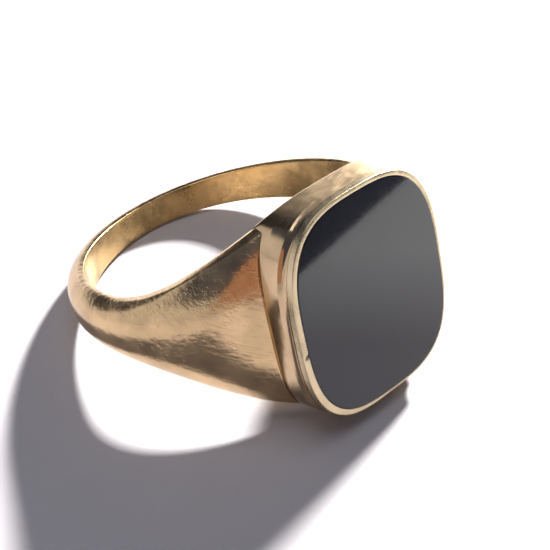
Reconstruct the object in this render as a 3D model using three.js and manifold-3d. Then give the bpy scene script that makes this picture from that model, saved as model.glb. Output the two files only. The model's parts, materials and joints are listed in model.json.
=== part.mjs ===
// A man's signet ring: a tapering gold hoop whose shoulders meet a cushion-shaped head, which holds a flat
// black onyx tablet in a rubbed-over bezel. The ring lies on its side, as it does when it is put down on a
// table.
//
// Every piece is made in the ring's own frame, in millimetres:
//   x  from the centre of the finger hole out through the middle of the stone
//   y  across the finger, from one shoulder to the other
//   z  along the finger
// A group at the end tips the ring until it rests on the back of the hoop and on the lower side of the head.
import * as THREE from "three";
import { mergeVertices } from "three/addons/utils/BufferGeometryUtils.js";
import Module from "manifold-3d";

const wasm = await Module();
wasm.setup();

// ---------------------------------------------------------------- driving dimensions

const FINGER_RADIUS = 10; // inside of the hoop
const TABLE_HEIGHT = 12.5; // flat top of the stone, above the centre of the finger hole
const SOLDER_GAP = 0.02; // film between two gold pieces, and the stone's clearance in its bezel

// Sides of the hoop: half its width along the finger, as a function of x.
const BACK_HALF_WIDTH = 1.05;
const TAPER = 0.075; // gentle widening from the back of the hoop, per mm
const FLARE = 0.0359; // flare of the shoulders, which runs on along the finger hole's edges under the head
const FLARE_POWER = 2.1;

// Section of the hoop: plain inside, crowned outside.
const BACK_THICKNESS = 1.15;
const SHOULDER_THICKNESS = 2.2; // where the shoulders reach the head
const THICKENING_POWER = 1; // how soon it thickens away from the back
const BACK_EDGE = 0.4; // thickness left at the two edges
const SHOULDER_EDGE = 0.95;
const SHOULDER_LEAN = 0.2; // how much narrower the shoulders are at their outer edges than at the finger hole
const CROWN_POWER = 3.2; // 2 is a parabola, more is flatter on top

// Outline of the head and the stone: a superellipse, shorter across the finger than along it.
const CUSHION_POWER = 3;
const STONE_HALF_WIDTH = 5.8;
const STONE_HALF_LENGTH = 6.8;
const STONE_THICKNESS = 1.3;
const STONE_BEVEL = 0.16;
const CEMENT_THICKNESS = 0.06;

// Bezel: a thin strip on top of the head, its rim rubbed over the stone's bevel.
const BEZEL_WALL = 0.2;
const BEZEL_FOOT_FLARE = 0.05;
const BEZEL_HEIGHT = 0.45;
const LIP_OVERLAP = 0.13;
const LIP_DROP = 0.04; // top of the rim, below the stone's table
const LIP_ROUNDING = 0.08;

// Head under the bezel: a coved wall that spreads into a foot between the two shoulders.
const FOOT_SPREAD = 0.53; // how far the foot stands outside the stone's edge, towards the shoulders
const END_SPREAD = 0.42; // the same at the two ends along the finger
const FOOT_TOP = 11.5;
const COVE_HOLLOW = 0.1; // depth of the cove below a straight line
const POCKET_WALL = 0.5; // gold left under the stone's edge, inside the bezel line
const BEARER_WIDTH = 0.6;
const BEARER_THICKNESS = 0.45;

// Gallery: a curved plate with a window, closing the head on the finger's side.
const GALLERY_THICKNESS = 0.4;
const WINDOW_HALF_WIDTH = 3.6;
const WINDOW_HALF_LENGTH = 4.7;

const OUTLINE_STEPS = 64; // points round each cushion outline

const POLISHED_GOLD = { color: 0xcfa667, roughness: 0.18, metalness: 1 };
const SATIN_GOLD = { color: 0xc19a5e, roughness: 0.35, metalness: 1 };
const ONYX = { color: 0x0e1014, roughness: 0.05, metalness: 0 };
const CEMENT = { color: 0x3a2c20, roughness: 0.7, metalness: 0 };

// ---------------------------------------------------------------- shapes that several pieces share

const bezelBottom = TABLE_HEIGHT - LIP_DROP - BEZEL_HEIGHT;
const stoneBottom = TABLE_HEIGHT - STONE_THICKNESS;

// Half the hoop's width along the finger at x, flaring from its back to the shoulders.
function halfWidthAt(x) {
  return BACK_HALF_WIDTH + TAPER * (x + FINGER_RADIUS) + FLARE * Math.max(0, x) ** FLARE_POWER;
}

// A value that goes from the back of the hoop to its shoulders, by the angle round the finger from the head.
function alongHoop(back, shoulder, angle, power) {
  return back + (shoulder - back) * ((1 + Math.cos(angle)) / 2) ** power;
}

// A point on a cushion outline at height x, at the angle phi round it from the +y side.
function cushionPoint(phi, x, halfWidth, halfLength) {
  const c = Math.cos(phi);
  const s = Math.sin(phi);
  const power = Math.abs(c) ** CUSHION_POWER + Math.abs(s) ** CUSHION_POWER;
  const r = power ** (-1 / CUSHION_POWER);
  return new THREE.Vector3(x, halfWidth * r * c, halfLength * r * s);
}

// ---------------------------------------------------------------- solids

// One closed surface through rings of points that all have the same length. Cyclic rings meet end to end
// like a tyre. Otherwise the first and the last ring are filled in.
function loft(rings, cyclic) {
  const sides = rings[0].length;
  const spans = cyclic ? rings.length : rings.length - 1;
  const index = [];
  for (let i = 0; i < spans; i++) {
    const here = i * sides;
    const next = ((i + 1) % rings.length) * sides;
    for (let k = 0; k < sides; k++) {
      const l = (k + 1) % sides;
      index.push(here + k, next + k, next + l);
      index.push(here + k, next + l, here + l);
    }
  }
  const last = spans * sides;
  for (let k = 1; !cyclic && k < sides - 1; k++) {
    index.push(0, k, k + 1);
    index.push(last, last + k + 1, last + k);
  }
  const geometry = new THREE.BufferGeometry().setFromPoints(rings.flat());
  return geometry.setIndex(index);
}

// A closed geometry as a solid to cut and join, turned right side out if its faces point inwards.
function solid(geometry) {
  geometry.deleteAttribute("normal");
  geometry.deleteAttribute("uv");
  const merged = mergeVertices(geometry, 1e-5);
  const vertProperties = merged.attributes.position.array;
  const faces = Array.from(merged.index.array);
  const build = (corners) =>
    new wasm.Manifold(new wasm.Mesh({ numProp: 3, vertProperties, triVerts: new Uint32Array(corners) }));
  const made = build(faces);
  return made.volume() > 0 ? made : build(faces.reverse());
}

// A straight cushion prism from one height to another.
function cushionPrism(halfWidth, halfLength, bottom, top) {
  const rings = [bottom, top].map((x) => {
    const ring = [];
    for (let i = 0; i < OUTLINE_STEPS; i++) {
      ring.push(cushionPoint((2 * Math.PI * i) / OUTLINE_STEPS, x, halfWidth, halfLength));
    }
    return ring;
  });
  return solid(loft(rings, false));
}

// A band that runs round the cushion outline. Each corner of its section is [x, out] or [x, out, outAtEnds].
// out is how far it stands outside the stone's edge, and outAtEnds is the same at the two ends along the
// finger.
function cushionBand(section) {
  const rings = [];
  for (let i = 0; i < OUTLINE_STEPS; i++) {
    const phi = (2 * Math.PI * i) / OUTLINE_STEPS;
    const corner = ([x, out, outAtEnds = out]) =>
      cushionPoint(phi, x, STONE_HALF_WIDTH + out, STONE_HALF_LENGTH + outAtEnds);
    rings.push(section.map(corner));
  }
  return solid(loft(rings, true));
}

// A cylinder about the finger's axis.
function fingerCylinder(radius) {
  const cylinder = new THREE.CylinderGeometry(radius, radius, 4 * STONE_HALF_LENGTH, 120);
  return solid(cylinder.rotateX(Math.PI / 2));
}

// ---------------------------------------------------------------- the pieces

// The hoop with its two shoulders, open where the head goes in.
function shank() {
  const opening = THREE.MathUtils.degToRad(18); // well inside the head on each side
  const steps = 90;
  const crownSteps = 10;
  const rings = [];
  for (let i = 0; i <= steps; i++) {
    const angle = opening + (2 * (Math.PI - opening) * i) / steps;
    const edge = FINGER_RADIUS + alongHoop(BACK_EDGE, SHOULDER_EDGE, angle, 3);
    const top = FINGER_RADIUS + alongHoop(BACK_THICKNESS, SHOULDER_THICKNESS, angle, THICKENING_POWER);
    const inner = halfWidthAt(FINGER_RADIUS * Math.cos(angle));
    const outer = inner - alongHoop(0, SHOULDER_LEAN, angle, 3);
    const at = (radius, z) => new THREE.Vector3(radius * Math.cos(angle), radius * Math.sin(angle), z);
    const ring = [at(FINGER_RADIUS, inner), at(FINGER_RADIUS, -inner)];
    for (let k = 0; k <= crownSteps; k++) {
      const u = -Math.cos((Math.PI * k) / crownSteps);
      ring.push(at(edge + (top - edge) * (1 - Math.abs(u) ** CROWN_POWER), outer * u));
    }
    rings.push(ring);
  }
  const width = STONE_HALF_WIDTH + FOOT_SPREAD + SOLDER_GAP;
  const length = STONE_HALF_LENGTH + END_SPREAD + SOLDER_GAP;
  return solid(loft(rings, false)).subtract(cushionPrism(width, length, 0, 2 * TABLE_HEIGHT));
}

// The space between the two sides of the ring, which flare towards the head in one smooth line.
function betweenSides() {
  const steps = 64;
  const upper = [];
  const lower = [];
  for (let i = 0; i <= steps; i++) {
    const x = (TABLE_HEIGHT * i) / steps;
    upper.push(new THREE.Vector2(x, halfWidthAt(x)));
    lower.unshift(new THREE.Vector2(x, -halfWidthAt(x)));
  }
  const profile = new THREE.Shape([...upper, ...lower]);
  const prism = new THREE.ExtrudeGeometry(profile, { depth: 2 * TABLE_HEIGHT, bevelEnabled: false });
  return solid(prism.rotateX(Math.PI / 2).translate(0, TABLE_HEIGHT, 0));
}

// The wall of the head: a pocket for the stone at the top, and outside it a cove that spreads into a foot
// between the two shoulders. Its two ends are bevelled to the line of the ring's sides.
function headCollet() {
  const top = bezelBottom - SOLDER_GAP;
  const section = [
    [0, -POCKET_WALL],
    [stoneBottom - SOLDER_GAP, -POCKET_WALL],
    [stoneBottom - SOLDER_GAP, SOLDER_GAP],
    [top, SOLDER_GAP],
  ];
  const coveSteps = 8;
  for (let i = 0; i <= coveSteps; i++) {
    const t = i / coveSteps;
    const hollow = COVE_HOLLOW * Math.sin(Math.PI * t);
    const out = (spread) => BEZEL_WALL + (spread - BEZEL_WALL) * t - hollow;
    section.push([top + (FOOT_TOP - top) * t, out(FOOT_SPREAD), out(END_SPREAD)]);
  }
  section.push([0, FOOT_SPREAD, END_SPREAD]);
  return cushionBand(section).subtract(fingerCylinder(FINGER_RADIUS)).intersect(betweenSides());
}

// A ledge soldered inside the head, on which the middle of the stone beds.
function bearer() {
  const out = -POCKET_WALL - SOLDER_GAP;
  const top = stoneBottom - CEMENT_THICKNESS - SOLDER_GAP;
  return cushionBand([
    [top - BEARER_THICKNESS, out],
    [top - BEARER_THICKNESS, out - BEARER_WIDTH],
    [top, out - BEARER_WIDTH],
    [top, out],
  ]);
}

// The thin bed of setting cement between the bearer and the stone.
function cementBed() {
  const out = -POCKET_WALL - 2 * SOLDER_GAP;
  const top = stoneBottom - SOLDER_GAP / 2;
  return cushionBand([
    [top - CEMENT_THICKNESS, out],
    [top - CEMENT_THICKNESS, out - BEARER_WIDTH],
    [top, out - BEARER_WIDTH],
    [top, out],
  ]);
}

// A flat tablet with a small polished bevel round its table.
function onyxTablet() {
  const ring = (x, inset) => {
    const points = [];
    for (let i = 0; i < OUTLINE_STEPS; i++) {
      const phi = (2 * Math.PI * i) / OUTLINE_STEPS;
      points.push(cushionPoint(phi, x, STONE_HALF_WIDTH - inset, STONE_HALF_LENGTH - inset));
    }
    return points;
  };
  const rings = [ring(stoneBottom, 0), ring(TABLE_HEIGHT - STONE_BEVEL, 0), ring(TABLE_HEIGHT, STONE_BEVEL)];
  return solid(loft(rings, false));
}

// The bezel strip on top of the head, its rim closed over the stone's bevel.
function bezelRim() {
  const rim = TABLE_HEIGHT - LIP_DROP;
  return cushionBand([
    [bezelBottom, SOLDER_GAP],
    [bezelBottom, BEZEL_WALL + BEZEL_FOOT_FLARE],
    [rim - LIP_ROUNDING, BEZEL_WALL],
    [rim, BEZEL_WALL - LIP_ROUNDING],
    [rim, -LIP_OVERLAP + SOLDER_GAP],
    [rim - LIP_ROUNDING / 2, -LIP_OVERLAP + 2 * SOLDER_GAP],
    [TABLE_HEIGHT - STONE_BEVEL + SOLDER_GAP, SOLDER_GAP],
  ]);
}

// The curved plate that closes the head towards the finger, with a window behind the stone.
function galleryPlate() {
  const out = POCKET_WALL + SOLDER_GAP;
  const plug = cushionPrism(STONE_HALF_WIDTH - out, STONE_HALF_LENGTH - out, 0, TABLE_HEIGHT);
  const inside = fingerCylinder(FINGER_RADIUS);
  const outside = fingerCylinder(FINGER_RADIUS + GALLERY_THICKNESS);
  const window = cushionPrism(WINDOW_HALF_WIDTH, WINDOW_HALF_LENGTH, 0, 2 * TABLE_HEIGHT);
  return plug.intersect(outside).subtract(inside).subtract(window);
}

// ---------------------------------------------------------------- assembly

const ring = new THREE.Group();

function addPiece(name, body, look) {
  const { vertProperties, triVerts } = body.getMesh();
  const geometry = new THREE.BufferGeometry();
  geometry.setAttribute("position", new THREE.Float32BufferAttribute(vertProperties, 3));
  geometry.setIndex(new THREE.Uint32BufferAttribute(triVerts, 1));
  geometry.computeVertexNormals();
  const piece = new THREE.Mesh(geometry, new THREE.MeshStandardMaterial(look));
  piece.name = name;
  ring.add(piece);
}

addPiece("shank", shank(), POLISHED_GOLD);
addPiece("head_collet", headCollet(), POLISHED_GOLD);
addPiece("bezel_rim", bezelRim(), POLISHED_GOLD);
addPiece("onyx_tablet", onyxTablet(), ONYX);
addPiece("cement_bed", cementBed(), CEMENT);
addPiece("bearer_ledge", bearer(), SATIN_GOLD);
addPiece("gallery_plate", galleryPlate(), SATIN_GOLD);

// The lowest point of the ring on one side of the finger hole (the head's is +1, the back's is -1) once x is
// tipped up by an angle.
function lowestPoint(side, tilt) {
  const up = new THREE.Vector3(Math.sin(tilt), 0, Math.cos(tilt));
  const point = new THREE.Vector3();
  let lowest = Infinity;
  for (const piece of ring.children) {
    const corners = piece.geometry.attributes.position;
    for (let i = 0; i < corners.count; i++) {
      point.fromBufferAttribute(corners, i);
      if (point.x * side > 0) lowest = Math.min(lowest, point.dot(up));
    }
  }
  return lowest;
}

// The tilt at which the head and the back of the hoop both touch the table, found by halving.
function restingTilt() {
  let low = 0;
  let high = Math.PI / 4;
  for (let i = 0; i < 40; i++) {
    const middle = (low + high) / 2;
    if (lowestPoint(1, middle) < lowestPoint(-1, middle)) low = middle;
    else high = middle;
  }
  return low;
}

// Turn the stone to the front (-Y), tip the ring to its rest, and stand it on z = 0 in the middle of its own
// floor.
const tilt = restingTilt();
const towardsStone = new THREE.Vector3(0, -Math.cos(tilt), Math.sin(tilt));
const acrossFinger = new THREE.Vector3(1, 0, 0);
const alongFinger = new THREE.Vector3(0, Math.sin(tilt), Math.cos(tilt));
ring.setRotationFromMatrix(new THREE.Matrix4().makeBasis(towardsStone, acrossFinger, alongFinger));

const signetRing = new THREE.Group();
signetRing.add(ring);
signetRing.updateMatrixWorld(true);
const box = new THREE.Box3().setFromObject(signetRing, true);
const middle = box.getCenter(new THREE.Vector3());
ring.position.set(-middle.x, -middle.y, -box.min.z);

export default signetRing;
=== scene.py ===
"""A man's signet ring with a flat black onyx, lying on its side on a pale table in studio light.

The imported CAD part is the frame. Its faceted gold and stone are stood in for here by smooth surfaces of the
same shape and size, worked out from the same dimensions, with finer edges, joints and wear.
"""
import json
import math

import bpy
import numpy as np
from mathutils import Matrix, Vector


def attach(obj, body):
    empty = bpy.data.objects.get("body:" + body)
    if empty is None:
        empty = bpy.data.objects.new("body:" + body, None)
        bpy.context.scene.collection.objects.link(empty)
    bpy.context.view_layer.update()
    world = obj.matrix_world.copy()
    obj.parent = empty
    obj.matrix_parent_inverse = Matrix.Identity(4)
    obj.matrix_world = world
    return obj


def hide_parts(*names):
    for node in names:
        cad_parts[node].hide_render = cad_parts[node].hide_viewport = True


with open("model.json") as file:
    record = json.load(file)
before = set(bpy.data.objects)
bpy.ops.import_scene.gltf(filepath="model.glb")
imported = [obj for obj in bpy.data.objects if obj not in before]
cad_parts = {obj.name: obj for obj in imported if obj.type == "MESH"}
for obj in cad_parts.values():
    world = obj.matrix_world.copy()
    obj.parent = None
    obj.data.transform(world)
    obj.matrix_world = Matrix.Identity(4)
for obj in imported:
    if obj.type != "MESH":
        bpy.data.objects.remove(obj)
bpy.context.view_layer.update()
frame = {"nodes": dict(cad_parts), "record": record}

MM = 0.001

# ---------------------------------------------------------------- the ring's dimensions, in millimetres
#
# They are given in the ring's own frame: x from the centre of the finger hole out through the middle of the
# stone, y across the finger, z along the finger.

FINGER_RADIUS = 10.0
TABLE_HEIGHT = 12.5  # the stone's flat face
JOINT_GAP = 0.02

# The shank.
BACK_HALF_WIDTH = 1.049
TAPER = 0.075
FLARE = 0.0359
FLARE_POWER = 2.1
BACK_THICKNESS = 1.11
SHOULDER_THICKNESS = 2.19
THICKENING_POWER = 1.0
BACK_EDGE = 0.4
SHOULDER_EDGE = 0.95
SHOULDER_LEAN = 0.2
SHOULDER_POWER = 3  # of the growth of the edge and the lean, from the back to the shoulders
CROWN_POWER = 3.0
CROWN_FULLNESS = 0.85
ARRIS_WIDTH = 0.3  # the burnished edge of the finger hole
ARRIS_DROP = 0.08
JOINT_ROUNDING = 0.13  # of the crown where it meets the head
CUT_FROM = math.radians(14)  # the head's foot cuts the hoop between these angles round the finger
CUT_TO = math.radians(70)

# The stone and its rim.
CUSHION_POWER = 3.0
STONE_HALF_WIDTH = 5.8
STONE_HALF_LENGTH = 6.8
STONE_THICKNESS = 1.3
STONE_BEVEL = 0.16
BEZEL_WALL = 0.2
BEZEL_HEIGHT = 0.45
RUBBED_OFF = 0.005  # the rim's wall, worn back by polishing
LIP_OVERLAP = 0.13
LIP_DROP = 0.04
RIM_ROUNDING = 0.08

# The rim's wear: it is wider at one side of the stone and thinner at another, and has a nick at (y, z).
RIM_SWELL = 0.16
RIM_SWELL_AT = math.radians(200)
RIM_WORN = 0.17
RIM_WORN_AT = math.radians(305)
NICK = (-5.8, -1.1)
NICK_RADIUS = 0.11
NICK_DEPTH = 0.12

# The head.
FOOT_SPREAD = 0.53
END_SPREAD = 0.41
END_FOOT = 10.3  # where the two ends along the finger reach their full spread
FOOT_TOP = 11.5
COVE_HOLLOW = 0.1
BEVEL_SOFTNESS = 0.05
INNER_CHAMFER = 0.1
POCKET_WALL = 0.5
GALLERY_THICKNESS = 0.4
WINDOW_HALF_WIDTH = 3.6
WINDOW_HALF_LENGTH = 4.7

# The gold's wear.
SCRATCH_DEPTH = 0.003
BORE_HIGHLIGHT_AT = math.radians(138)  # the middle of a painted highlight patch inside the hoop
FILED_FROM = 6.0  # the head's two ends along the finger are filed from here
FILED_FULLY = 6.8

OUTLINE_STEPS = 384
OUTLINE = np.arange(OUTLINE_STEPS) * 2 * math.pi / OUTLINE_STEPS

# ---------------------------------------------------------------- the ring's frame, from the record's mounts

mounts = {m["name"]: m for m in frame["record"]["mounts"]}
HOLE_CENTRE = Vector(mounts["finger_hole"]["pos_m"])
STONE_WAY = Vector(mounts["stone_table"]["axis"])
FINGER_WAY = Vector(mounts["finger_hole"]["axis"])
ACROSS_WAY = FINGER_WAY.cross(STONE_WAY)
RING_AXES = Matrix((STONE_WAY, ACROSS_WAY, FINGER_WAY)).transposed()


def in_row_frame(point):
    """A point of the ring's own frame, in millimetres, as a point of the row frame, in metres."""
    return HOLE_CENTRE + RING_AXES @ Vector(point) * MM


# ---------------------------------------------------------------- meshes


def make_piece(name, points, faces, material, node, sharp=32):
    """A smooth-shaded mesh from points in the ring's frame, standing for a CAD node."""
    rows = np.asarray(points).reshape(-1, 3) * MM @ np.array(RING_AXES).T + np.array(HOLE_CENTRE)
    mesh = bpy.data.meshes.new(name)
    mesh.from_pydata(rows.tolist(), [], faces)
    mesh.validate()
    mesh.shade_smooth()
    mesh.set_sharp_from_angle(angle=math.radians(sharp))
    mesh.materials.append(material)
    piece = bpy.data.objects.new(name, mesh)
    bpy.context.collection.objects.link(piece)
    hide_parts(node)
    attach(piece, "root")


def loft_faces(rings, sides, cyclic):
    """Faces of a closed surface through rings of points, numbered ring by ring."""
    faces = []
    spans = rings if cyclic else rings - 1
    for i in range(spans):
        here = i * sides
        following = (i + 1) % rings * sides
        for k in range(sides):
            after = (k + 1) % sides
            faces.append((here + k, here + after, following + after, following + k))
    if not cyclic:
        last = (rings - 1) * sides
        faces.append(tuple(reversed(range(sides))))
        faces.append(tuple(range(last, last + sides)))
    return faces


def facing_out(points, faces):
    """The faces, turned over if they enclose a negative volume."""
    points = np.asarray(points).reshape(-1, 3)
    volume = 0.0
    for face in faces:
        first = points[face[0]]
        for a, b in zip(face[1:-1], face[2:]):
            volume += first @ np.cross(points[a], points[b])
    return faces if volume > 0 else [tuple(reversed(face)) for face in faces]


# ---------------------------------------------------------------- shapes that several pieces share


def half_width_at(x):
    """Half the ring's width along the finger, flaring from the back of the hoop to the head."""
    return BACK_HALF_WIDTH + TAPER * (x + FINGER_RADIUS) + FLARE * np.maximum(0, x) ** FLARE_POWER


def within_sides(points):
    """Points of the head, drawn in to the line of the ring's sides, with a soft edge where it starts."""
    x, y, z = np.moveaxis(points, -1, 0)
    excess = (np.abs(z) - half_width_at(x)) / BEVEL_SOFTNESS
    z = np.sign(z) * (np.abs(z) - BEVEL_SOFTNESS * np.logaddexp(0, excess))
    return np.stack([x, y, z], axis=-1)


def along_hoop(back, shoulder, angle, power):
    """A value that goes from the back of the hoop to its shoulders."""
    return back + (shoulder - back) * ((1 + np.cos(angle)) / 2) ** power


def cushion(phi, half_width, half_length):
    """(y, z) on a cushion outline, at angles phi round it from the +y side."""
    c, s = np.cos(phi), np.sin(phi)
    r = (np.abs(c) ** CUSHION_POWER + np.abs(s) ** CUSHION_POWER) ** (-1 / CUSHION_POWER)
    return half_width * r * c, half_length * r * s


def cushion_band(section):
    """Points of a band round the cushion outline.

    Each corner of the section is (x, out) or (x, out, out_at_ends): out is how far it stands outside the
    stone's edge, and out_at_ends is the same at the two ends along the finger.
    """
    columns = []
    for x, out, *rest in section:
        out_at_ends = rest[0] if rest else out
        y, z = cushion(OUTLINE, STONE_HALF_WIDTH + out, STONE_HALF_LENGTH + out_at_ends)
        columns.append(np.stack([np.full(OUTLINE_STEPS, x), y, z], axis=1))
    return np.stack(columns, axis=1)


# ---------------------------------------------------------------- materials


def set_stops(color_ramp, stops):
    """Give a new ramp its stops, each (position, grey or colour)."""
    while len(color_ramp.elements) < len(stops):
        color_ramp.elements.new(0.5)
    for element, (position, colour) in zip(color_ramp.elements, stops):
        element.position = position
        element.color = (colour,) * 3 + (1,) if isinstance(colour, float) else (*colour, 1)


class Nodes:
    """A short way to write a material's node tree."""

    def __init__(self, name):
        self.material = bpy.data.materials.new(name)
        self.material.use_nodes = True
        self.tree = self.material.node_tree
        self.shader = self.tree.nodes["Principled BSDF"]
        self.where = self.add("ShaderNodeTexCoord").outputs["Object"]

    def add(self, kind, **settings):
        node = self.tree.nodes.new(kind)
        for key, value in settings.items():
            setattr(node, key, value)
        return node

    def link(self, source, target):
        self.tree.links.new(source, target)

    def scaled(self, scale, turn=(0, 0, 0)):
        """The object's coordinates, turned back and then scaled."""
        mapping = self.add("ShaderNodeMapping", vector_type="TEXTURE")
        mapping.inputs["Rotation"].default_value = turn
        mapping.inputs["Scale"].default_value = tuple(1 / factor for factor in scale)
        self.link(self.where, mapping.inputs["Vector"])
        return mapping.outputs["Vector"]

    def noise(self, scale, detail=4.0, stretch=(1, 1, 1), turn=(0, 0, 0)):
        """Noise whose features are about 1 / scale millimetres across."""
        texture = self.add("ShaderNodeTexNoise")
        texture.inputs["Scale"].default_value = scale / MM
        texture.inputs["Detail"].default_value = detail
        self.link(self.scaled(stretch, turn), texture.inputs["Vector"])
        return texture.outputs["Fac"]

    def ramp(self, value, stops):
        """A value through a ramp whose stops are (position, grey or colour)."""
        node = self.add("ShaderNodeValToRGB")
        set_stops(node.color_ramp, stops)
        self.link(value, node.inputs["Fac"])
        return node.outputs["Color"]

    def from_centre(self):
        """The way from the centre of the finger hole."""
        offset = self.add("ShaderNodeVectorMath", operation="SUBTRACT")
        offset.inputs[1].default_value = HOLE_CENTRE
        self.link(self.where, offset.inputs[0])
        return offset.outputs["Vector"]

    def between(self, length, start, end):
        """0 to 1 as a length goes from start to end, in millimetres."""
        fit = self.add("ShaderNodeMapRange")
        fit.inputs["From Min"].default_value = start * MM
        fit.inputs["From Max"].default_value = end * MM
        self.link(length, fit.inputs["Value"])
        return fit.outputs["Result"]

    def along(self, direction, start, end):
        """0 to 1 from start to end, in millimetres from the centre of the finger hole along a direction."""
        distance = self.add("ShaderNodeVectorMath", operation="DOT_PRODUCT")
        distance.inputs[1].default_value = direction
        self.link(self.from_centre(), distance.inputs[0])
        return self.between(distance.outputs["Value"], start, end)

    def off_axis(self, start, end):
        """0 to 1 from start to end, in millimetres out from the axis of the finger hole."""
        swing = self.add("ShaderNodeVectorMath", operation="CROSS_PRODUCT")
        swing.inputs[1].default_value = FINGER_WAY
        self.link(self.from_centre(), swing.inputs[0])
        length = self.add("ShaderNodeVectorMath", operation="LENGTH")
        self.link(swing.outputs["Vector"], length.inputs[0])
        return self.between(length.outputs["Value"], start, end)

    def mix(self, share, a, b):
        """Colour a where share is 0, colour b where it is 1."""
        node = self.add("ShaderNodeMix", data_type="RGBA")
        self.link(share, node.inputs["Factor"])
        self.link(a, node.inputs["A"])
        self.link(b, node.inputs["B"])
        return node.outputs["Result"]

    def maths(self, operation, a, b):
        """An operation on two values, each a socket or a number."""
        node = self.add("ShaderNodeMath", operation=operation)
        for socket, value in zip(node.inputs, (a, b)):
            if isinstance(value, (int, float)):
                socket.default_value = value
            else:
                self.link(value, socket)
        return node.outputs["Value"]

    def bump(self, height, depth, below=None):
        """A bump of depth millimetres, laid over the bump below."""
        node = self.add("ShaderNodeBump")
        node.inputs["Strength"].default_value = 1.0
        node.inputs["Distance"].default_value = depth * MM
        self.link(height, node.inputs["Height"])
        if below:
            self.link(below, node.inputs["Normal"])
        return node.outputs["Normal"]


def shaded(tone, share):
    """A tone made darker, or with a share above 1 brighter."""
    return tuple(share * c for c in tone)


def scratches(n, turn):
    """Hairline scratches: the thin crests of a noise stretched along one way, in patches."""
    lines = n.noise(7.0, detail=1.0, stretch=(1, 0.04, 1), turn=turn)
    crests = n.ramp(lines, [(0.62, 0.0), (0.66, 1.0)])
    patches = n.ramp(n.noise(0.4, detail=2.0, turn=turn), [(0.32, 0.0), (0.57, 1.0)])
    return n.maths("MULTIPLY", crests, patches)


def bore_colour(n, tone):
    """The inside of the hoop: brown where it is dull, with a painted highlight that brightens it in one
    place.
    """
    dull = n.ramp(n.noise(0.32, detail=3.0), [(0.42, shaded(tone, 0.5)), (0.56, tone)])
    # Painted highlight: a patch of brighter colour on the far side of the bore stands in for a reflection
    # there.
    highlight_way = STONE_WAY * math.cos(BORE_HIGHLIGHT_AT) + ACROSS_WAY * math.sin(BORE_HIGHLIGHT_AT)
    highlight_share = n.along(highlight_way, FINGER_RADIUS - 0.7, FINGER_RADIUS - 0.05)
    bright = n.ramp(n.noise(0.8, detail=3.0), [(0.35, tone), (0.6, shaded(tone, 1.3))])
    return n.mix(highlight_share, dull, bright)


def gold(name, tone, roughness, dents, bore_tone=None):
    """Worn 9 carat gold: soft dents, hairline scratches, and a bloom that varies its polish.

    A bore_tone gives the finger hole's own surface a duller, deeper colour.
    """
    n = Nodes(name)
    shader = n.shader
    shader.inputs["Metallic"].default_value = 1.0
    bloom = n.noise(0.5, detail=5.0)
    colour = n.ramp(bloom, [(0.35, shaded(tone, 0.74)), (0.62, tone)])
    fine = n.noise(9.0, detail=3.0)
    low, high = roughness
    polish = n.maths("MULTIPLY", n.maths("ADD", bloom, fine), 0.5)
    rough = n.ramp(polish, [(0.35, low), (0.65, high)])
    if bore_tone:
        outside = n.off_axis(FINGER_RADIUS + 0.02, FINGER_RADIUS + INNER_CHAMFER)
        colour = n.mix(outside, bore_colour(n, bore_tone), colour)
        inside = n.maths("SUBTRACT", 1.0, outside)
        rough = n.maths("ADD", rough, n.maths("MULTIPLY", inside, 0.12))
    n.link(colour, shader.inputs["Base Color"])
    n.link(rough, shader.inputs["Roughness"])
    waves = n.bump(n.noise(0.6, detail=2.0), dents)
    hammered = n.bump(n.noise(2.2, detail=3.0, stretch=(1, 1, 1.6)), dents / 2, below=waves)
    pitted = n.ramp(n.noise(2.6, detail=2.0), [(0.6, 0.0), (0.8, 1.0)])
    pits = n.bump(pitted, -dents / 6, below=hammered)
    first = n.bump(scratches(n, (0.3, 0.5, 0.9)), SCRATCH_DEPTH, below=pits)
    second = n.bump(scratches(n, (1.1, -0.4, -0.6)), SCRATCH_DEPTH, below=first)
    n.link(second, shader.inputs["Normal"])
    return n.material


def filed_gold(name, tone):
    """Polished gold whose two ends along the finger are left from a fine file, in crossing strokes."""
    n = Nodes(name)
    shader = n.shader
    shader.inputs["Metallic"].default_value = 1.0
    bloom = n.noise(0.8, detail=4.0)
    n.link(n.ramp(bloom, [(0.3, shaded(tone, 0.8)), (0.65, tone)]), shader.inputs["Base Color"])
    upper_end = n.along(FINGER_WAY, FILED_FROM, FILED_FULLY)
    lower_end = n.along(-FINGER_WAY, FILED_FROM, FILED_FULLY)
    filed = n.maths("MAXIMUM", upper_end, lower_end)
    satin = n.ramp(n.noise(1.5, detail=2.0), [(0.35, 0.35), (0.7, 0.42)])
    n.link(n.maths("MAXIMUM", n.maths("MULTIPLY", satin, filed), 0.13), shader.inputs["Roughness"])
    normal = n.bump(n.noise(0.6, detail=2.0), 0.02)
    for swing in (0.4, 0.15, -0.3):
        turn = (Matrix.Rotation(swing, 3, FINGER_WAY) @ RING_AXES).to_euler()
        strokes = n.noise(6.0, detail=1.0, stretch=(1, 0.08, 0.3), turn=turn)
        cut = n.maths("MULTIPLY", n.ramp(strokes, [(0.3, 0.0), (0.75, 1.0)]), filed)
        normal = n.bump(cut, 0.004, below=normal)
    n.link(normal, shader.inputs["Normal"])
    return n.material


def onyx():
    """Black onyx, polished, with the faintest haze of fine scratches."""
    n = Nodes("onyx_polished_black")
    shader = n.shader
    shader.inputs["IOR"].default_value = 1.54
    depth = n.noise(0.35, detail=3.0)
    black = n.ramp(depth, [(0.3, (0.006, 0.008, 0.014)), (0.7, (0.010, 0.012, 0.020))])
    n.link(black, shader.inputs["Base Color"])
    haze = n.noise(6.0, detail=4.0)
    n.link(n.ramp(haze, [(0.3, 0.03), (0.7, 0.07)]), shader.inputs["Roughness"])
    n.link(n.bump(scratches(n, (0.2, 0.1, 0.7)), 0.0002), shader.inputs["Normal"])
    return n.material


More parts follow.
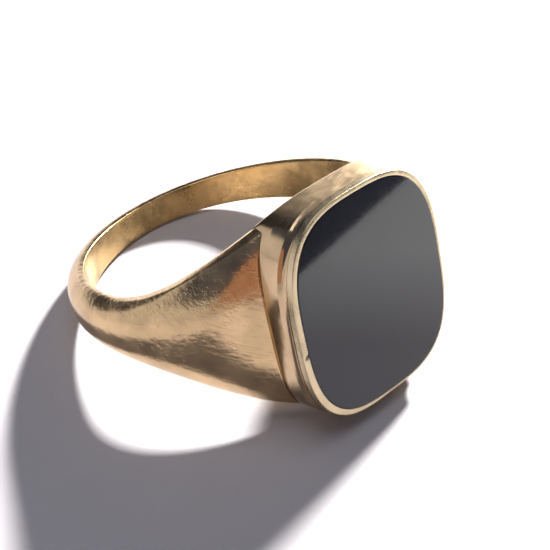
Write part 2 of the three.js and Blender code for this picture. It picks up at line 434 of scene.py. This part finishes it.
def cement():
    """Dark setting cement, dull and lumpy."""
    n = Nodes("setting_cement_dark")
    lumps = n.noise(5.0, detail=5.0)
    brown = n.ramp(lumps, [(0.3, (0.03, 0.02, 0.012)), (0.7, (0.08, 0.055, 0.035))])
    n.link(brown, n.shader.inputs["Base Color"])
    n.link(n.ramp(lumps, [(0.3, 0.55), (0.7, 0.8)]), n.shader.inputs["Roughness"])
    n.link(n.bump(lumps, 0.02), n.shader.inputs["Normal"])
    return n.material


POLISHED_GOLD = gold(
    "gold_worn_polish", (0.70, 0.50, 0.285), (0.12, 0.27), dents=0.035, bore_tone=(0.70, 0.48, 0.22)
)
# The head's gold tone is painted darker than the shank's, as painted shade that dims its reflections; its
# file strokes and roughness are its real finish.
FILED_GOLD_WITH_PAINTED_SHADE = filed_gold("gold_filed_head", (0.60, 0.44, 0.27))
RIM_GOLD = gold("gold_burnished_rim", (0.70, 0.57, 0.37), (0.24, 0.38), dents=0.02)
INNER_GOLD = gold("gold_satin_inside", (0.58, 0.38, 0.18), (0.25, 0.4), dents=0.01)
ONYX = onyx()
CEMENT = cement()

# ---------------------------------------------------------------- the pieces


def shank():
    """The hoop and its two shoulders, ending against the head."""
    # The section is the bore's wall, a burnished corner, the crown over the outside, and the other corner.
    # a, b and c count its points up to the end of each of the first three.
    bore = np.linspace(1, -1, 13)
    corner = np.linspace(0, math.pi / 2, 9)[1:]
    crown = -np.cos(np.linspace(0, math.pi, 61))
    a = len(bore)
    b = a + len(corner)
    c = b + len(crown)
    sides = c + len(corner)

    def section(angle):
        """(radius, z) of the section's points, at an angle given for each of them."""
        edge = FINGER_RADIUS + along_hoop(BACK_EDGE, SHOULDER_EDGE, angle, SHOULDER_POWER)
        top = FINGER_RADIUS + along_hoop(BACK_THICKNESS, SHOULDER_THICKNESS, angle, THICKENING_POWER)
        inner = half_width_at(FINGER_RADIUS * np.cos(angle))
        outer = inner - along_hoop(0, SHOULDER_LEAN, angle, SHOULDER_POWER)
        radius = np.empty_like(angle)
        z = np.empty_like(angle)
        radius[..., :a] = FINGER_RADIUS
        z[..., :a] = bore * (inner[..., :a] - ARRIS_DROP)
        radius[..., a:b] = FINGER_RADIUS + ARRIS_WIDTH * (1 - np.cos(corner))
        z[..., a:b] = -(inner[..., a:b] - ARRIS_DROP * (1 - np.sin(corner)))
        rise = (1 - np.abs(crown) ** CROWN_POWER) ** CROWN_FULLNESS
        radius[..., b:c] = edge[..., b:c] + (top[..., b:c] - edge[..., b:c]) * rise
        z[..., b:c] = crown * outer[..., b:c]
        radius[..., c:] = FINGER_RADIUS + ARRIS_WIDTH * (1 - np.cos(corner[::-1]))
        z[..., c:] = inner[..., c:] - ARRIS_DROP * (1 - np.sin(corner[::-1]))
        return radius, z

    # Where each line of the hoop meets the head's foot, found by halving.
    width = STONE_HALF_WIDTH + FOOT_SPREAD + JOINT_GAP
    length = STONE_HALF_LENGTH + END_SPREAD + JOINT_GAP
    low = np.full(sides, CUT_FROM)
    high = np.full(sides, CUT_TO)
    for _ in range(40):
        middle = (low + high) / 2
        radius, z = section(middle)
        y = radius * np.sin(middle)
        outside = np.abs(y / width) ** CUSHION_POWER + np.abs(z / length) ** CUSHION_POWER > 1
        high = np.where(outside, middle, high)
        low = np.where(outside, low, middle)
    start = high

    # Sections lie closer together at both ends, where the crown rounds down to the joint.
    spread = np.linspace(0, 1, 260)
    near = 0.0025 * np.array([0, 0.1, 0.25, 0.45, 0.7, 1.0])
    along = np.concatenate([near, spread[2:-2], 1 - near[::-1]])
    angle = start + (2 * math.pi - 2 * start) * along[:, None]
    radius, z = section(angle)
    from_end = np.minimum(angle - start, 2 * math.pi - start - angle) * radius
    short = np.clip(1 - from_end / JOINT_ROUNDING, 0, 1)
    drop = JOINT_ROUNDING * (1 - np.sqrt(1 - short**2))
    fade = np.zeros(sides)
    fade[b:c] = 1 - np.abs(crown) ** 6
    radius = radius - drop * fade
    points = np.stack([radius * np.cos(angle), radius * np.sin(angle), z], axis=2)
    faces = facing_out(points, loft_faces(len(along), sides, cyclic=False))
    make_piece("shank_smooth", points, faces, POLISHED_GOLD, "shank")


def rim_swell():
    """How far the rim has been worked out of true: wider at one side of the stone, worn thin at another."""
    wider = np.clip(np.cos(OUTLINE - RIM_SWELL_AT), 0, 1) ** 3
    thinner = np.clip(np.cos(OUTLINE - RIM_WORN_AT), 0, 1) ** 1.5
    return RIM_SWELL * wider - RIM_WORN * thinner


def end_spread_at(x):
    """How far the head's ends along the finger stand outside the stone, sloping gently from rim to foot."""
    top = TABLE_HEIGHT - LIP_DROP
    return BEZEL_WALL + (END_SPREAD - BEZEL_WALL) * np.clip((top - x) / (top - END_FOOT), 0, 1)


def head_collet():
    """The wall of the head, with its cove, its foot cut to the ring's sides, and its pocket for the stone."""
    top = TABLE_HEIGHT - LIP_DROP - BEZEL_HEIGHT - JOINT_GAP
    seat = TABLE_HEIGHT - STONE_THICKNESS - JOINT_GAP
    section = [(seat, -POCKET_WALL), (seat, JOINT_GAP), (top, JOINT_GAP)]
    for t in np.linspace(0, 1, 17):
        x = top + (FOOT_TOP - top) * t
        swell = rim_swell() * (1 - t)
        side = BEZEL_WALL + (FOOT_SPREAD - BEZEL_WALL) * t - COVE_HOLLOW * math.sin(math.pi * t)
        section.append((x, side + swell, end_spread_at(x) + swell))
    cove = cushion_band(section)

    foot_width = STONE_HALF_WIDTH + FOOT_SPREAD
    foot_length = STONE_HALF_LENGTH + END_SPREAD
    foot_y, _ = cushion(OUTLINE, foot_width, foot_length)
    wall_bottom = np.sqrt(FINGER_RADIUS**2 - foot_y**2) + INNER_CHAMFER
    wall = []
    for t in np.linspace(0, 1, 49)[1:]:
        x = FOOT_TOP + (wall_bottom - FOOT_TOP) * t
        y, z = cushion(OUTLINE, foot_width, STONE_HALF_LENGTH + end_spread_at(x))
        wall.append(np.stack([x, y, z], axis=1))
    wall = within_sides(np.stack(wall, axis=1))

    underside = []
    for inset in np.linspace(INNER_CHAMFER, POCKET_WALL + FOOT_SPREAD, 12):
        across = inset / (POCKET_WALL + FOOT_SPREAD)
        inset_at_ends = across * (POCKET_WALL + END_SPREAD)
        y, z = cushion(OUTLINE, foot_width - inset, foot_length - inset_at_ends)
        x = np.sqrt(FINGER_RADIUS**2 - y**2)
        limit = half_width_at(x) - INNER_CHAMFER
        underside.append(np.stack([x, y, np.clip(z, -limit, limit)], axis=1))
    points = np.concatenate([cove, wall, np.stack(underside, axis=1)], axis=1)
    faces = facing_out(points, loft_faces(OUTLINE_STEPS, points.shape[1], cyclic=True))
    make_piece("head_collet_smooth", points, faces, FILED_GOLD_WITH_PAINTED_SHADE, "head_collet")


def bezel_rim():
    """The thin strip round the stone, its rim burnished over the stone's bevel."""
    rim = TABLE_HEIGHT - LIP_DROP
    bottom = rim - BEZEL_HEIGHT
    swell = rim_swell()
    wall = BEZEL_WALL - RUBBED_OFF + swell
    section = [(bottom, JOINT_GAP), (bottom, wall, end_spread_at(bottom) + swell)]
    for turn in np.linspace(0, math.pi / 2, 9):
        x = rim - RIM_ROUNDING * (1 - math.sin(turn))
        section.append((x, wall - RIM_ROUNDING * (1 - math.cos(turn))))
    # The lip rubbed over the stone, as (drop below the rim, out), turning down towards the stone.
    lip = [(0.0, 0.0), (0.003, -0.05), (0.018, 0.03 - LIP_OVERLAP), (0.035, JOINT_GAP - LIP_OVERLAP)]
    section += [(rim - drop, out) for drop, out in lip]
    section.append((TABLE_HEIGHT - STONE_BEVEL + JOINT_GAP, JOINT_GAP))
    points = cushion_band(section)
    from_nick = np.hypot(points[..., 1] - NICK[0], points[..., 2] - NICK[1])
    points[..., 0] -= NICK_DEPTH * np.exp(-((from_nick / NICK_RADIUS) ** 2))
    faces = facing_out(points, loft_faces(OUTLINE_STEPS, points.shape[1], cyclic=True))
    make_piece("bezel_rim_smooth", points, faces, RIM_GOLD, "bezel_rim")


def onyx_tablet():
    """The flat stone, with a small polished bevel under the rim."""
    # (depth below the table, inset) from the back edge's small bevel to the table.
    profile = [(STONE_THICKNESS, 0.08), (STONE_THICKNESS - 0.08, 0.0), (STONE_BEVEL, 0.0)]
    profile += [(0.03, STONE_BEVEL - 0.04), (0.008, STONE_BEVEL - 0.015), (0.0, STONE_BEVEL)]
    levels = [(TABLE_HEIGHT - depth, -inset) for depth, inset in profile]
    points = cushion_band(levels).transpose(1, 0, 2)
    faces = facing_out(points, loft_faces(len(levels), OUTLINE_STEPS, cyclic=False))
    make_piece("onyx_tablet_smooth", points, faces, ONYX, "onyx_tablet", sharp=20)


def gallery_plate():
    """The curved plate with a window that closes the head on the finger's side."""
    window_y, window_z = cushion(OUTLINE, WINDOW_HALF_WIDTH, WINDOW_HALF_LENGTH)
    inset = POCKET_WALL + JOINT_GAP
    edge_y, edge_z = cushion(OUTLINE, STONE_HALF_WIDTH - inset, STONE_HALF_LENGTH - inset)
    outwards = np.linspace(0, 1, 9)
    columns = []
    for radius, shares in ((FINGER_RADIUS, outwards), (FINGER_RADIUS + GALLERY_THICKNESS, outwards[::-1])):
        for share in shares:
            y = window_y + (edge_y - window_y) * share
            z = window_z + (edge_z - window_z) * share
            columns.append(np.stack([np.sqrt(radius**2 - y**2), y, z], axis=1))
    points = np.stack(columns, axis=1)
    faces = facing_out(points, loft_faces(OUTLINE_STEPS, points.shape[1], cyclic=True))
    make_piece("gallery_plate_smooth", points, faces, INNER_GOLD, "gallery_plate")


shank()
head_collet()
bezel_rim()
onyx_tablet()
gallery_plate()
for hidden, material in (("bearer_ledge", INNER_GOLD), ("cement_bed", CEMENT)):
    frame["nodes"][hidden].data.materials.clear()
    frame["nodes"][hidden].data.materials.append(material)

# ---------------------------------------------------------------- table, light and camera

# Lengths are in metres from here on, and angles in degrees.
CAMERA_AZIMUTH = -43.7
CAMERA_ELEVATION = 40.4
CAMERA_DISTANCE = 85.1 * MM
CAMERA_LENS = 85.1  # the focal length, in millimetres
LOOKED_AT = in_row_frame((2.0, 0.95, -2.0))
TABLE_HALF_SIZE = 1.5

# What the gold and the stone reflect from all round.
HORIZON = (0.85, 0.84, 0.86)
CEILING = (0.095, 0.105, 0.145)
CEILING_WAY = (0, -0.19, 1)  # leaning, so that the ceiling comes lower at the front
HORIZON_TO = 0.2
CEILING_FROM = 0.27


def table_material():
    """White card, with painted shade: greyer towards the side away from the key light."""
    n = Nodes("table_white_card")
    # Painted shade: the card's colour turns grey towards -X, away from the key light, standing in for the
    # light falling off there.
    painted_shade_share = n.along(Vector((-1, 0, 0)), -24, -8)
    mottled = n.maths("MULTIPLY", n.noise(0.05, detail=3.0), 0.2)
    tint = n.maths("ADD", mottled, n.maths("MULTIPLY", painted_shade_share, 0.8))
    white = n.ramp(tint, [(0.1, (0.93, 0.92, 0.92)), (0.9, (0.46, 0.44, 0.465))])
    n.link(white, n.shader.inputs["Base Color"])
    n.shader.inputs["Roughness"].default_value = 0.6
    n.link(n.bump(n.noise(3.0), 0.01), n.shader.inputs["Normal"])
    return n.material


def table():
    """A flat square under the ring."""
    mesh = bpy.data.meshes.new("table")
    r = TABLE_HALF_SIZE
    mesh.from_pydata([(-r, -r, 0), (r, -r, 0), (r, r, 0), (-r, r, 0)], [], [(0, 1, 2, 3)])
    mesh.materials.append(table_material())
    floor = bpy.data.objects.new("table", mesh)
    bpy.context.collection.objects.link(floor)


def way_to(azimuth, elevation):
    """The way to an azimuth, from the front (-Y) towards +X, and an elevation."""
    a, e = math.radians(azimuth), math.radians(elevation)
    return Vector((math.sin(a) * math.cos(e), -math.cos(a) * math.cos(e), math.sin(e)))


def place(name, data, way, distance):
    """A new light or camera, that far from the point looked at, and turned to it."""
    obj = bpy.data.objects.new(name, data)
    bpy.context.collection.objects.link(obj)
    obj.location = LOOKED_AT + way * distance
    obj.rotation_euler = (LOOKED_AT - obj.location).to_track_quat("-Z", "Y").to_euler()
    return obj


def area_light(name, azimuth, elevation, distance, size, strength, colour=(1, 1, 1)):
    """A square soft light of a strength in watts, turned to the ring."""
    light = bpy.data.lights.new(name, "AREA")
    light.shape = "SQUARE"
    light.size = size
    light.energy = strength
    light.color = colour
    place(name, light, way_to(azimuth, elevation), distance)


def card(name, left, right, bottom, top, colour):
    """An upright card out of the picture, from left to right (x, y) and from bottom to top.

    The gold and the stone reflect it. It casts no shadow and gives no diffuse light.
    """
    mesh = bpy.data.meshes.new(name)
    corners = [(*left, bottom), (*right, bottom), (*right, top), (*left, top)]
    mesh.from_pydata(corners, [], [(0, 1, 2, 3)])
    n = Nodes(name)
    fibres = n.ramp(n.noise(2.0), [(0.3, colour), (0.7, shaded(colour, 1.15))])
    n.link(fibres, n.shader.inputs["Base Color"])
    n.shader.inputs["Roughness"].default_value = 0.9
    mesh.materials.append(n.material)
    sheet = bpy.data.objects.new(name, mesh)
    bpy.context.collection.objects.link(sheet)
    sheet.visible_camera = False
    sheet.visible_shadow = False
    sheet.visible_diffuse = False


def camera():
    """The camera, outside the ring's front left."""
    lens = bpy.data.cameras.new("camera")
    lens.lens = CAMERA_LENS
    lens.sensor_width = 36
    lens.clip_start = 0.005
    way = way_to(CAMERA_AZIMUTH, CAMERA_ELEVATION)
    bpy.context.scene.camera = place("camera", lens, way, CAMERA_DISTANCE)


def surroundings():
    """A pale horizon all round, under a dim ceiling."""
    world = bpy.data.worlds.new("studio")
    world.use_nodes = True
    tree = world.node_tree
    direction = tree.nodes.new("ShaderNodeTexCoord")
    slope = tree.nodes.new("ShaderNodeVectorMath")
    slope.operation = "DOT_PRODUCT"
    slope.inputs[1].default_value = CEILING_WAY
    ramp = tree.nodes.new("ShaderNodeValToRGB")
    tree.links.new(direction.outputs["Generated"], slope.inputs[0])
    tree.links.new(slope.outputs["Value"], ramp.inputs["Fac"])
    stops = [(0.0, HORIZON), (HORIZON_TO, HORIZON), (CEILING_FROM, CEILING), (1.0, CEILING)]
    set_stops(ramp.color_ramp, stops)
    tree.links.new(ramp.outputs["Color"], tree.nodes["Background"].inputs["Color"])
    bpy.context.scene.world = world


table()
surroundings()
area_light(
    "key_light", azimuth=108, elevation=28, distance=1.5, size=0.125, strength=106, colour=(1, 0.98, 0.95)
)
area_light("soft_fill", azimuth=-140, elevation=84, distance=0.6, size=0.4, strength=0.95)
card("dark_flag", (0.010, -0.043), (0.130, -0.089), 0.0, 0.09, (0.014, 0.014, 0.019))
card("warm_card", (-0.27, -0.12), (-0.10, -0.28), 0.02, 0.22, (0.115, 0.061, 0.041))
card("back_flag", (0.177, 0.177), (-0.11, 0.25), 0.03, 0.20, (0.03, 0.03, 0.035))
camera()

bpy.context.scene.view_settings.view_transform = "Standard"
